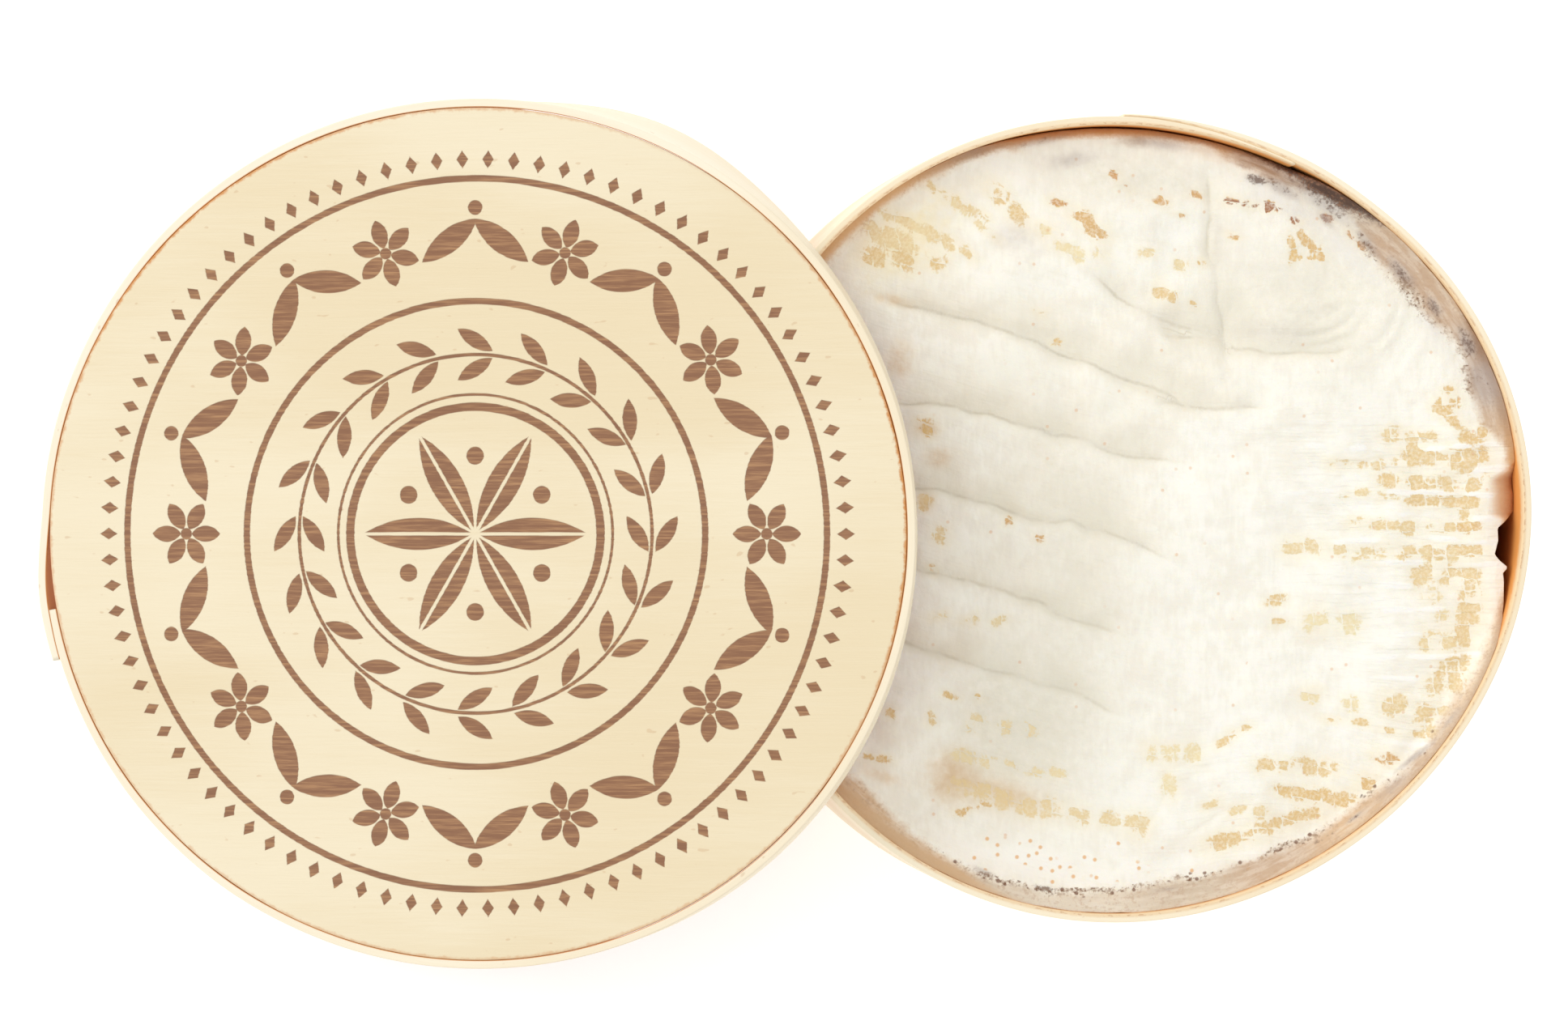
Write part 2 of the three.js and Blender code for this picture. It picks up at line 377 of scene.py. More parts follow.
# A crease runs from one point to another in millimetres from the middle of the cheese. Then come how far
# it is bowed, how deep it is, and over what distance its upper bank slopes. Its lower bank is short
LOWER_BANK = 0.9
CREASES = [
    ((-31, 28.8), (9.5, 14.6), 0.8, 1.3, 5.0),
    ((-31, 15.5), (8.5, 6.5), 0.6, 1.1, 4.5),
    ((-37, 5.5), (8, -6.2), 1.2, 1.3, 5.0),
    ((-38, -5), (2, -16.2), 1.4, 1.2, 4.5),
    ((-35, -15.6), (1, -26.2), 0.7, 1.1, 4.0),
    ((12.2, 46), (14.2, 19.5), -0.6, 0.6, 2.2),
    ((6, 24.2), (32, 22.4), -1.2, 0.9, 7.0),
    ((5.5, 15), (20, 14), 0.3, 0.8, 5.0),
    ((-4, 32), (15, 22.5), -0.8, 0.7, 3.5),
    ((6, -25), (41, -27.5), 0.6, 0.3, 2.0),
    ((22, -8.6), (44, -11), 0.3, 0.3, 2.0),
    ((-4, 38), (12, 33), 0.8, 0.3, 2.0),
    ((2, -42), (14, -32), 0.8, 0.35, 2.0),
    ((8, -42.5), (24, -36), 0.9, 0.35, 2.0),
    ((4, -36), (20, -27.5), 1.2, 0.3, 2.0),
]


def crease_groove(x, y, crease):
    """Three numbers at a point beside a crease: its distance from the line, how strong the crease is
    there, and its bank, which dies away slowly above the line and quickly below it."""
    (x0, y0), (x1, y1), bow, deep, slope = crease
    length = np.hypot(x1 - x0, y1 - y0)
    along = ((x - x0) * (x1 - x0) + (y - y0) * (y1 - y0)) / length**2
    aside = ((y - y0) * (x1 - x0) - (x - x0) * (y1 - y0)) / length
    wander = 0.8 * lumps(x, y, 6, 11) + 0.3 * lumps(x, y, 2.2, 12)
    bowed = aside - bow * 4 * along * (1 - along) + wander
    faded = ease(along, -0.1, 0.15) * (1 - ease(along, 0.8, 1.1)) * (0.8 + 0.3 * lumps(x, y, 4, 13))
    bank = np.exp(-np.where(bowed > 0, bowed / slope, -bowed / LOWER_BANK))
    return bowed, deep * faded, deep * faded * bank


def creases_at(x, y):
    """The distance to the nearest line that hasn't faded there, its strength, and all banks added up."""
    all_of = np.array([crease_groove(x, y, crease) for crease in CREASES])
    distance, strength, bank = np.moveaxis(all_of, 1, 0)
    nearest = np.argmin(np.abs(distance) + 5 * (strength < 0.1), axis=0)[None]
    distance = np.take_along_axis(distance, nearest, axis=0)[0]
    return distance, np.take_along_axis(strength, nearest, axis=0)[0], bank.sum(axis=0)


def mat_rows(x, y):
    """Which row of the draining mat a point is on, in millimetres: the rows fall to the right on the
    left half, level out on the right, and arch upwards over the lower right."""
    levelling = -0.15 * (x - 6 - np.hypot(x - 6, 8))
    arch = 4 * np.exp(-(((x - 18) / 14) ** 2)) * ease(-y, 14, 30)
    return y - levelling - arch


def mat_columns(x, y):
    """Which column of the mat a point is on, in millimetres: nearly upright lines."""
    return x + 0.12 * y


def rotated(along, aside, degrees):
    """The same place in axes turned by an angle."""
    cos, sin = float(np.cos(np.radians(degrees))), float(np.sin(np.radians(degrees)))
    return along * cos + aside * sin, aside * cos - along * sin


def bell(x, y, middle, half_wide, half_high, degrees=0):
    """1 in the middle of an oval, fading like a bell to all sides. The oval may be turned."""
    along, aside = rotated(x - middle[0], y - middle[1], degrees)
    return np.exp(-((along / half_wide) ** 2) - (aside / half_high) ** 2)


def combed_by_mat(x, y):
    """Where the mat's threads have left ridges: the right side, and weakly the lower edge."""
    right = ease(x + 0.4 * y, 14, 32) * (1 - ease(y, 9, 17))
    return np.clip(right + 0.6 * bell(x, y, (14, -36), 16, 8), 0, 1)


def uneven_row(x, y):
    """The mat's rows, wavering as the threads lay."""
    return mat_rows(x, y) + 0.55 * lumps(0.4 * x, y, 4, 6) + 0.15 * lumps(x, y, 1.7, 18)


def thread_ridge(x, y):
    """A raised line at each row of the mat, a bell of the distance from the nearest row, broken up
    along its length."""
    rows = uneven_row(x, y) / MAT_PITCH
    away = MAT_PITCH * (rows - np.round(rows))
    held = lumps(0.16 * x, rows, 1, 7) + 0.5 * lumps(0.5 * x, rows, 1, 19)
    return np.exp(-((away / 0.5) ** 2)) * ease(held, -0.3, 0.6) * combed_by_mat(x, y)


def rind_relief(x, y):
    """Height of the rind: slow swells and lumps, less the creases, plus the ridges that the mat's threads
    left on the right, drawn-out wrinkles along the rows, and curved wrinkles in the upper right."""
    distance, strength, bank = creases_at(x, y)
    grooves = 0.16 * strength * np.exp(-((distance / 0.6) ** 2)) + 0.75 * bank
    swells = 0.35 * np.sin(0.11 * x + 0.6) * np.cos(0.13 * y - 0.4)
    lumpy = 0.5 * lumps(x, y, 9, 3) + 0.2 * lumps(x, y, 3.7, 4) + 0.04 * lumps(x, y, 1.4, 5)
    row = uneven_row(x, y)
    fine_rows = 0.1 * combed_by_mat(x, y) * lumps(0.2 * x, row, 0.9, 14)
    drawn_out = 0.2 * lumps(0.22 * x, row, 1.4, 15) * (0.5 + 0.5 * lumps(x, y, 8, 16))
    from_curl = np.hypot(x - 24.5, (y - 31) * 1.1) + 0.8 * lumps(x, y, 4, 8)
    curled = bell(x, y, (25.5, 25.5), 8, 4) + 0.7 * bell(x, y, (37, 23), 5, 6)
    wrinkles = 0.32 * curled * lumps(from_curl, 0.12 * x, 0.9, 17)
    return swells + lumpy - grooves + 0.14 * thread_ridge(x, y) + fine_rows + drawn_out + wrinkles


def shoulder_width(degrees):
    """How broad the rolled shoulder is: broad at the upper right, less so at the bottom."""
    return 1.2 + 4.2 * near_bearing(degrees, 45, 30) + 2.2 * near_bearing(degrees, -85, 32)


def edge_round(degrees):
    """How far the rolled edge comes in from the side, how far down it goes, and how straight it slopes:
    tight against the wall, round where the cheese has shrunk from it at the back, and a long slope
    beside the torn hollow."""
    shrunk = ease(degrees, OPEN_GAP["from"] - 6, OPEN_GAP["from"] + 10)
    shrunk = shrunk * (1 - ease(degrees, OPEN_GAP["to"] - 8, OPEN_GAP["to"] + 4))
    slope = ease(degrees, -1.4, 0.8) * (1 - ease(degrees, 5.4, 8.2))
    return 0.08 + 1.1 * shrunk + 3.6 * slope, 0.12 + 1.1 * shrunk + 2.3 * slope, 0.9 * slope


def wall_inside(degrees, up):
    """Radius of the box's inner face at a height: the outer radius less the veneer and its tuck."""
    return box_outer(degrees) - VENEER - BOX_TUCK * lean_left(up, BOX_HEIGHT)


def cheese_outer(degrees, up):
    """Outer radius of the cheese: against the wall, but set back by a gap at the back, where the cheese
    has shrunk, and by a torn hollow on the right, whose edge has small lobes."""
    opened = ease(degrees, OPEN_GAP["from"] - 6, OPEN_GAP["from"] + 14)
    closed = 1 - ease(degrees, OPEN_GAP["to"] - 4, OPEN_GAP["to"] + 5)
    torn = np.interp(degrees, TORN_BEARINGS, TORN_DEPTHS, left=0, right=0)
    ragged = 0.05 * lumps(degrees, 0 * degrees, 2.2, 9)
    return wall_inside(degrees, up) - WALL_GAP - OPEN_GAP["wide"] * opened * closed - torn + ragged


def cheese_height(x, y, degrees, from_edge):
    """Height of the top: the crown, less the shoulder's roll, plus the climb up the wall, which grows
    with the square of the nearness to it, plus the relief away from the edge."""
    crown = CHEESE_CROWN * (1 - (x * x + y * y) / BOX_RADIUS**2)
    roll = 0.2 + 0.6 * near_bearing(degrees, 50, 28) + 0.6 * near_bearing(degrees, -80, 35)
    rolled = roll * (1 - ease(from_edge, 0, shoulder_width(degrees)))
    nearness = np.clip(1 - from_edge / CLIMB_REACH, 0, 1)
    climb = np.interp(degrees, CLIMB_BEARINGS, CLIMBS) * nearness**2
    return CHEESE_FOOT + CHEESE_TOP + crown - rolled + climb + rind_relief(x, y) * ease(from_edge, 0.3, 4)


def disc_grid(count):
    """An even grid over a disc: squares round the middle of a square grid become circles. Returns each
    point's share of the radius and its bearing. An even count leaves the very middle free."""
    steps = np.linspace(-1, 1, count)
    across, up = np.meshgrid(steps, steps)
    wide = np.abs(across) >= np.abs(up)
    major = np.where(wide, across, up)
    turn = np.where(wide, up, -across) / major * 45 + np.where(wide, 0, 90)
    return np.abs(major), (turn + np.where(major < 0, 180, 0) + 180) % 360 - 180


def border_of(grid):
    """What stands along the border of a square grid, once round."""
    return np.concatenate([grid[0, :-1], grid[:-1, -1], grid[-1, :0:-1], grid[:0:-1, 0]])


def cheese_points():
    """The top as a disc grid, then rings down the rolled edge, the side and the foot, then one point.
    Also returns how far each point lies below the brow."""
    share, degrees = disc_grid(GRID_POINTS)
    inward = edge_round(degrees)[0]
    brow = cheese_outer(degrees, CHEESE_TOP) - inward
    angle = np.radians(degrees)
    x = share * brow * np.cos(angle)
    y = share * brow * np.sin(angle)
    top = np.stack([x, y, cheese_height(x, y, degrees, inward + (1 - share) * brow)], axis=-1)
    ring = border_of(top)
    bearing = np.degrees(np.arctan2(ring[:, 1], ring[:, 0]))[None, :]
    inward, downward, straight = edge_round(bearing)
    step = np.linspace(0, 1, 8)[1:, None]
    roll = step * np.pi / 2
    foot = np.linspace(0, np.pi / 2, 6)[1:, None]
    side = np.linspace(0, 1, 6)[1:, None]
    rolled_down = (1 - np.cos(roll)) * (1 - straight) + step * straight
    rolled_in = (1 - np.sin(roll)) * (1 - straight) + (1 - step) * straight
    rolled_up = ring[None, :, 2] - downward * rolled_down
    side_up = rolled_up[-1] * (1 - side) + (CHEESE_FOOT + FOOT_ROUND) * side
    foot_up = CHEESE_FOOT + FOOT_ROUND * (1 - np.sin(foot)) + 0 * bearing
    up = np.concatenate([rolled_up, side_up, foot_up])
    foot_in = FOOT_ROUND * (1 - np.cos(foot)) + 0 * bearing
    inset = np.concatenate([inward * rolled_in, 0 * side_up, foot_in])
    bulge = 0.15 * lumps(bearing * 0.9, up, 4, 10) - 0.15
    radius = cheese_outer(bearing, up) - inset + bulge * ease(CHEESE_TOP - up, 0, 3)
    rings = polar_points(radius, bearing, up)
    below = np.concatenate([0 * top[..., 2].ravel(), (ring[None, :, 2] - up).ravel(), [CHEESE_TOP]])
    return np.concatenate([top.reshape(-1, 3), rings.reshape(-1, 3), [[0, 0, CHEESE_FOOT]]]), below


def cheese_faces(count):
    """Quads of the top grid, quads from its border down the rings, and a fan to the last point."""
    grid = np.arange(GRID_POINTS**2).reshape(GRID_POINTS, GRID_POINTS)
    quads = np.stack([grid[:-1, :-1], grid[:-1, 1:], grid[1:, 1:], grid[1:, :-1]], axis=-1)
    border = border_of(grid)
    lower = np.arange(GRID_POINTS**2, count - 1).reshape(-1, len(border))
    rings = np.concatenate([border[None, :], lower])
    beside = np.roll(rings, -1, axis=1)
    sides = np.stack([rings[:-1], rings[1:], beside[1:], beside[:-1]], axis=-1)
    middle = np.full(len(border), count - 1)
    under = np.stack([rings[-1], middle, beside[-1]], axis=-1)
    return quads.reshape(-1, 4).tolist() + sides.reshape(-1, 4).tolist() + under.tolist()


# Bare patches lie in rows along the mat: first and last middle, how many, half size along and across,
# how the patch is turned, how bare it is, and how far it has ripened from straw to rust
PATCHES = [
    ((-33.4, 37.6), (-28.6, 35.6), 3, 1.5, 1.2, -30, 0.9, 0.2),
    ((-32.7, 34.1), (-24.8, 33.7), 3, 1.5, 1.0, -20, 0.88, 0.3),
    ((-31.5, 40.4), (-26.0, 37.4), 4, 1.1, 0.6, -42, 0.82, 0.15),
    ((-28.4, 38.8), (-20.4, 34.9), 4, 1.2, 0.65, -42, 0.84, 0.22),
    ((-25.2, 43.2), (-18.0, 39.6), 5, 1.1, 0.5, -40, 0.8, 0.22),
    ((-22.5, 41.6), (-17.0, 37.2), 4, 0.9, 0.4, -42, 0.75, 0.15),
    ((-16.6, 42.6), (-13.7, 40.0), 2, 1.5, 0.9, -48, 0.88, 0.3),
    ((-8.4, 41.7), (-8.4, 41.7), 1, 1.1, 0.5, -10, 0.95, 0.7),
    ((-4.9, 39.2), (-3.6, 38.0), 2, 1.4, 0.8, -35, 1.0, 0.55),
    ((-10.6, 38.0), (-7.5, 35.7), 2, 1.3, 0.7, -15, 0.8, 0.1),
    ((-5.6, 34.6), (-2.6, 34.8), 2, 1.0, 0.8, -20, 0.7, 0.05),
    ((-0.7, 44.9), (0.8, 43.3), 2, 0.7, 0.4, -40, 0.85, 0.7),
    ((5.5, 41.6), (10.1, 42.8), 2, 0.9, 0.5, -20, 0.9, 0.62),
    ((8.0, 39.9), (15.1, 37.1), 2, 0.7, 0.35, -20, 0.8, 0.6),
    ((3.5, 34.9), (8.2, 33.2), 2, 0.9, 0.6, -10, 0.75, 0.15),
    ((5.4, 29.7), (7.2, 28.6), 2, 0.8, 1.0, 0, 0.85, 0.3),
    ((10.0, 28.4), (11.3, 33.7), 2, 0.5, 0.5, 0, 0.8, 0.4),
    ((-26.0, 11.7), (-26.0, 11.7), 1, 1.0, 0.9, 0, 0.72, 0.45),
    ((-10.6, 27.0), (-8.5, 23.1), 2, 0.6, 0.4, 0, 0.75, 0.45),
    ((15.0, 41.7), (21.2, 40.9), 5, 0.75, 0.42, 10, 0.95, 0.95),
    ((23.5, 39.5), (27.9, 39.7), 2, 0.8, 0.45, -30, 0.9, 0.95),
    ((31.0, 37.4), (32.6, 36.0), 2, 0.8, 0.45, -50, 0.85, 0.8),
    ((22.9, 36.2), (23.1, 34.6), 2, 0.35, 0.8, 5, 0.9, 0.45),
    ((24.6, 36.6), (26.9, 35.0), 3, 0.9, 0.5, -60, 0.85, 0.5),
    ((23.6, 34.0), (26.2, 34.2), 2, 0.9, 0.4, 15, 0.85, 0.42),
    ((44.0, 16.9), (44.6, 15.4), 2, 1.0, 0.7, 10, 0.95, 0.45),
    ((43.2, 14.4), (46.9, 10.4), 3, 1.3, 0.8, -48, 0.98, 0.35),
    ((36.6, 11.2), (41.2, 10.5), 3, 1.3, 0.8, 0, 0.85, 0.25),
    ((39.8, 8.3), (47.0, 7.4), 4, 1.5, 1.15, 0, 1.0, 0.28),
    ((28.4, 7.0), (36.8, 7.2), 5, 0.7, 0.6, 0, 0.8, 0.25),
    ((36.6, 4.9), (47.0, 4.2), 5, 1.4, 1.0, 0, 0.95, 0.28),
    ((39.6, 2.4), (46.8, 1.9), 4, 1.2, 0.8, 0, 0.95, 0.3),
    ((30.4, 3.4), (37.0, 2.6), 4, 0.8, 0.5, 0, 0.72, 0.2),
    ((48.6, 6.6), (48.9, 11.4), 3, 0.8, 1.0, 0, 0.72, 0.35),
    ((46.2, 10.0), (46.6, -1.0), 7, 0.7, 0.9, 0, 0.78, 0.28),
    ((31.4, -0.8), (44.0, -1.6), 6, 1.2, 0.7, 0, 0.82, 0.25),
    ((22.8, -4.0), (44.4, -5.0), 8, 1.2, 0.95, 0, 0.85, 0.2),
    ((38.4, -4.9), (46.6, -4.7), 3, 1.5, 0.95, 0, 0.98, 0.3),
    ((46.2, -1.5), (47.4, -1.2), 2, 0.9, 0.9, 0, 0.85, 0.5),
    ((40.4, -7.6), (47.1, -7.7), 3, 1.2, 1.2, 0, 0.88, 0.25),
    ((46.9, -9.6), (46.7, -12.9), 2, 1.25, 1.35, 0, 0.98, 0.25),
    ((41.6, -10.4), (43.4, -12.9), 2, 1.0, 0.9, 0, 0.72, 0.15),
    ((45.9, -15.7), (44.5, -19.4), 2, 1.35, 1.25, 10, 0.95, 0.27),
    ((41.2, -16.3), (43.4, -16.3), 2, 1.0, 1.2, 0, 0.8, 0.2),
    ((46.0, -18.4), (42.6, -20.8), 2, 0.9, 0.6, 20, 0.8, 0.3),
    ((20.6, -11.2), (21.3, -14.0), 2, 1.0, 0.5, 0, 0.75, 0.3),
    ((26.3, -14.0), (30.6, -14.0), 2, 1.3, 1.25, 0, 0.75, 0.0),
    ((42.2, -22.4), (44.9, -22.0), 2, 1.1, 1.1, 0, 0.9, 0.25),
    ((36.6, -24.9), (40.7, -25.9), 2, 1.3, 1.1, -10, 0.92, 0.25),
    ((43.4, -25.6), (41.6, -28.2), 2, 1.0, 0.8, -10, 0.8, 0.2),
    ((25.4, -23.4), (31.0, -24.9), 2, 1.0, 0.8, -10, 0.7, 0.1),
    ((28.0, -26.7), (40.0, -28.8), 4, 1.2, 0.5, -12, 0.85, 0.3),
    ((35.5, -31.9), (35.9, -32.2), 1, 1.4, 0.6, -25, 0.95, 0.6),
    ((32.9, -34.9), (32.9, -34.9), 1, 1.2, 1.1, 0, 0.9, 0.5),
    ((19.4, -32.7), (27.7, -33.2), 4, 1.3, 0.85, -5, 0.9, 0.3),
    ((13.4, -29.9), (16.6, -27.8), 3, 1.0, 0.55, 20, 0.78, 0.3),
    ((4.2, -31.0), (9.8, -31.2), 3, 1.0, 1.1, 5, 0.72, 0.08),
    ((22.2, -36.4), (31.0, -37.4), 6, 1.5, 0.7, -8, 1.0, 0.4),
    ((13.2, -42.9), (25.4, -39.2), 7, 1.5, 0.9, 18, 1.0, 0.33),
    ((12.3, -38.1), (18.7, -39.0), 3, 1.1, 0.6, 10, 0.8, 0.2),
    ((-25.8, 1.9), (-23.9, -2.1), 2, 0.8, 1.0, 0, 0.75, 0.25),
    ((-15.1, -0.4), (-10.5, -3.0), 2, 0.55, 0.5, 0, 0.8, 0.6),
    ((-25.1, -6.9), (-25.1, -6.9), 1, 0.7, 0.6, 0, 0.75, 0.55),
    ((-24.7, -13.1), (-16.3, -14.0), 3, 1.0, 0.55, 10, 0.75, 0.15),
    ((-22.8, -23.2), (-18.7, -23.9), 2, 0.8, 0.4, -10, 0.75, 0.4),
    ((-19.1, -27.3), (-12.0, -28.2), 3, 1.1, 1.0, 0, 0.7, 0.15),
    ((-31.0, -25.6), (-25.8, -26.4), 2, 0.7, 0.8, 0, 0.68, 0.3),
    ((-33.4, -31.4), (-31.6, -32.0), 2, 1.0, 0.5, -10, 0.7, 0.4),
    ((-21.0, -31.6), (-8.6, -34.0), 5, 1.2, 0.8, -10, 0.7, 0.12),
    ((-21.5, -35.4), (-12.7, -38.2), 4, 1.2, 1.0, -12, 0.78, 0.22),
    ((-9.2, -38.5), (2.1, -40.7), 4, 1.25, 1.1, -12, 0.85, 0.2),
    ((-21.3, -38.9), (-18.0, -38.3), 2, 1.1, 0.45, 5, 0.75, 0.5),
    ((6.3, -35.3), (6.3, -35.3), 1, 1.0, 1.2, 0, 0.7, 0.05),
]


def bare_patches(x, y):
    """How bare the rind is, how ripe it is there, and the pale wash around. A patch is a rounded square:
    1 in its middle, half at its border and nothing at half as far again. The wash is a wider bell. Each
    patch is shifted and sized a little at random, and the whole is warped by lumps."""
    draw = np.random.default_rng(41)
    bare = np.zeros_like(x)
    ripe = np.zeros_like(x)
    wash = np.zeros_like(x)
    x = x + 0.35 * lumps(x, y, 1.3, 21)
    y = y + 0.35 * lumps(x, y, 1.3, 22)
    for first, last, count, half_long, half_wide, turned, strength, ripeness in PATCHES:
        for share in np.linspace(0, 1, count):
            shift_x, shift_y = draw.uniform(-0.22, 0.22, 2)
            size = draw.uniform(0.85, 1.12)
            away_x = x - (first[0] + (last[0] - first[0]) * share + shift_x)
            away_y = y - (first[1] + (last[1] - first[1]) * share + shift_y)
            along, aside = np.abs(rotated(away_x, away_y, turned))
            level = ((along / (half_long * size)) ** 3 + (aside / (half_wide * size)) ** 3) ** (1 / 3)
            field = np.clip(1.5 - level, 0, 1) * strength
            ripe = np.where(field > bare, ripeness, ripe)
            bare = np.maximum(bare, field)
            wash = np.maximum(wash, strength * np.exp(-((level / 2.2) ** 2)))
    return bare, ripe, wash


# The stained band between the wall and the white rind, on the left partly painted shade of the wall and
# the
# lid: at a bearing, how wide it is, how thickly dark specks of mould stand along its inner border, and
# its tone
AMBER = (222, 178, 124)
DEEP_AMBER = (208, 156, 100)
DARK_BROWN = (148, 112, 84)
TAN_BROWN = (216, 182, 142)
PEACH = (232, 208, 178)
PALE_BEIGE = (226, 214, 194)
PINK_BEIGE = (200, 170, 140)
GREY_BROWN = (208, 190, 166)
BROWN = (174, 142, 114)
SHOULDER = [
    (-180, 2.2, 0.0, TAN_BROWN),
    (-142, 2.8, 0.0, TAN_BROWN),
    (-130, 3.2, 0.0, TAN_BROWN),
    (-118, 2.4, 0.5, TAN_BROWN),
    (-111, 2.2, 1.0, GREY_BROWN),
    (-100, 2.3, 1.0, PALE_BEIGE),
    (-90, 3.0, 1.0, PALE_BEIGE),
    (-82, 3.6, 1.0, GREY_BROWN),
    (-76, 3.6, 1.0, GREY_BROWN),
    (-69, 3.4, 1.0, PINK_BEIGE),
    (-62, 3.0, 1.0, PINK_BEIGE),
    (-54, 2.3, 0.9, TAN_BROWN),
    (-40, 1.9, 0.4, PINK_BEIGE),
    (-25, 1.5, 0.1, PEACH),
    (-12, 1.2, 0.0, PEACH),
    (-6, 0.0, 0.0, PALE_BEIGE),
    (5, 0.6, 0.0, PEACH),
    (9, 1.2, 0.0, TAN_BROWN),
    (14, 3.2, 0.3, PINK_BEIGE),
    (20, 3.4, 0.7, PINK_BEIGE),
    (26, 2.6, 0.9, BROWN),
    (31, 3.4, 0.8, PINK_BEIGE),
    (41, 4.2, 0.8, PINK_BEIGE),
    (47, 3.6, 0.9, PINK_BEIGE),
    (52, 2.2, 0.6, GREY_BROWN),
    (58, 1.8, 0.4, BROWN),
    (66, 2.8, 0.5, BROWN),
    (71, 2.4, 0.2, BROWN),
    (76, 1.2, 0.0, AMBER),
    (112, 1.4, 0.0, PEACH),
    (134, 1.8, 0.0, PEACH),
    (180, 2.2, 0.0, TAN_BROWN),
]

# The darker corner right beside the wall, partly stain and partly painted shade: at a bearing, how wide
# it is and its tone
CORNER_STAIN_AND_SHADE = [
    (-180, 1.2, DEEP_AMBER),
    (-130, 1.6, TAN_BROWN),
    (-114, 1.3, TAN_BROWN),
    (-103, -0.2, PEACH),
    (-70, 0.0, TAN_BROWN),
    (-40, 0.4, PINK_BEIGE),
    (-12, 0.7, PINK_BEIGE),
    (-6, -0.5, DEEP_AMBER),
    (4, -0.5, DEEP_AMBER),
    (8, 0.8, DEEP_AMBER),
    (15, 1.0, BROWN),
    (25, 0.9, DARK_BROWN),
    (33, -0.3, DARK_BROWN),
    (55, -0.3, DARK_BROWN),
    (66, 0.3, DARK_BROWN),
    (76, 0.8, BROWN),
    (90, 1.3, DEEP_AMBER),
    (103, 1.2, DEEP_AMBER),
    (112, 1.1, BROWN),
    (124, 0.8, AMBER),
    (140, 1.2, AMBER),
    (180, 1.2, DEEP_AMBER),
]

# Soft stains, and broad painted shade where the tone is SHADED, laid over one another: middle, half size
# along and across, how it is turned, how much it covers, and its tone
SHADED = (232, 227, 210)
TAN_STAIN = (225, 195, 154)
GOLDEN = (247, 233, 196)
WHITE_FUZZ = (255, 252, 241)
GREY_FUZZ = (240, 237, 230)
STAINS_AND_SHADE = [
    ((-6.0, 0.0), 9.5, 24.0, 10, 0.45, SHADED),
    ((-13.0, -28.0), 10.5, 12.0, 15, 0.75, SHADED),
    ((2.0, 44.5), 13.0, 4.5, -5, 0.58, SHADED),
    ((27.0, 29.0), 14.0, 12.0, 0, 0.55, SHADED),
    ((-29.4, 20.8), 2.2, 3.2, 0, 0.45, TAN_STAIN),
    ((-26.0, 11.6), 1.8, 1.2, 0, 0.55, TAN_STAIN),
    ((-24.2, 7.8), 2.6, 1.6, 0, 0.45, TAN_STAIN),
    ((-25.7, 2.0), 1.4, 1.4, 0, 0.4, TAN_STAIN),
    ((-30.0, 28.5), 3.0, 0.8, -15, 0.45, TAN_STAIN),
    ((-22.5, -34.4), 3.2, 3.4, 30, 0.65, TAN_STAIN),
    ((-15.5, -36.5), 4.8, 1.8, -15, 0.5, TAN_STAIN),
    ((-32.0, -34.0), 3.5, 1.2, -20, 0.4, TAN_STAIN),
    ((-28.5, 36.5), 9.0, 4.5, 40, 0.6, GOLDEN),
    ((-11.5, -45.4), 9.5, 2.3, -8, 0.95, WHITE_FUZZ),
    ((6.0, -46.0), 7.0, 1.2, 5, 0.6, WHITE_FUZZ),
    ((21.5, 41.8), 6.5, 1.3, -28, 0.6, GREY_FUZZ),
    ((31.0, 34.5), 5.5, 1.4, -45, 0.6, GREY_FUZZ),
    ((42.0, 24.5), 4.0, 1.2, -60, 0.6, GREY_FUZZ),
    ((47.6, 6.0), 1.0, 4.0, 0, 0.5, GREY_FUZZ),
    ((1.9, 49.8), 2.4, 0.8, 0, 0.5, BROWN),
]

# Soft clouds of mould and of painted shade: middle, half size along and across, how it is turned, how
# dark and how grey
MOULD_AND_SHADE_CLOUDS = [
    ((27.5, 41.4), 6.0, 1.2, -34, 0.45, 0.5),
    ((18.3, 44.7), 1.9, 0.7, -14, 0.85, 0.6),
    ((21.5, 43.6), 3.0, 0.9, -28, 0.5, 0.6),
    ((27.6, 39.4), 1.6, 0.6, -50, 0.3, 0.5),
    ((33.0, 36.4), 3.0, 0.9, -47, 0.5, 0.5),
    ((37.6, 32.4), 2.8, 1.0, -48, 0.6, 0.6),
    ((42.0, 27.9), 1.8, 0.8, -56, 0.65, 0.5),
    # The next four grey clouds are painted shade over folds and a hollow
    ((13.0, 37.0), 1.2, 5.0, 0, 0.0, 0.22),
    ((20.5, 24.5), 7.0, 2.2, -3, 0.0, 0.22),
    ((-14.0, 36.8), 4.0, 3.0, -20, 0.0, 0.3),
    ((6.0, 27.0), 4.0, 2.0, 20, 0.0, 0.15),
    ((-6.5, 47.2), 4.0, 1.3, 8, 0.0, 0.4),
    ((5.5, 49.3), 4.5, 0.9, -6, 0.2, 0.45),
    ((-10.8, 49.6), 5.0, 0.7, 12, 0.3, 0.4),
    ((46.4, 23.0), 2.8, 0.8, -64, 0.72, 0.6),
    ((48.6, 17.8), 3.6, 1.6, -70, 0.35, 0.7),
    ((50.0, 14.6), 3.0, 0.9, -72, 0.3, 0.1),
    ((-10.2, -49.0), 2.4, 0.55, -8, 0.75, 0.3),
    ((-18.4, -46.7), 1.8, 0.5, -22, 0.35, 0.5),
    ((6.0, -49.2), 2.4, 0.4, 5, 0.1, 0.35),
    ((32.3, -36.9), 1.0, 0.3, -10, 0.8, 0.2),
    ((31.6, -39.5), 1.9, 0.3, 32, 0.6, 0.5),
    ((39.2, -31.8), 3.6, 0.35, 39, 0.1, 0.6),
    ((44.2, -26.6), 2.4, 0.35, 52, 0.1, 0.45),
    ((36.4, -35.6), 3.2, 0.8, 42, 0.05, 0.35),
    ((27.0, -42.5), 3.5, 0.35, 32, 0.45, 0.0),
]

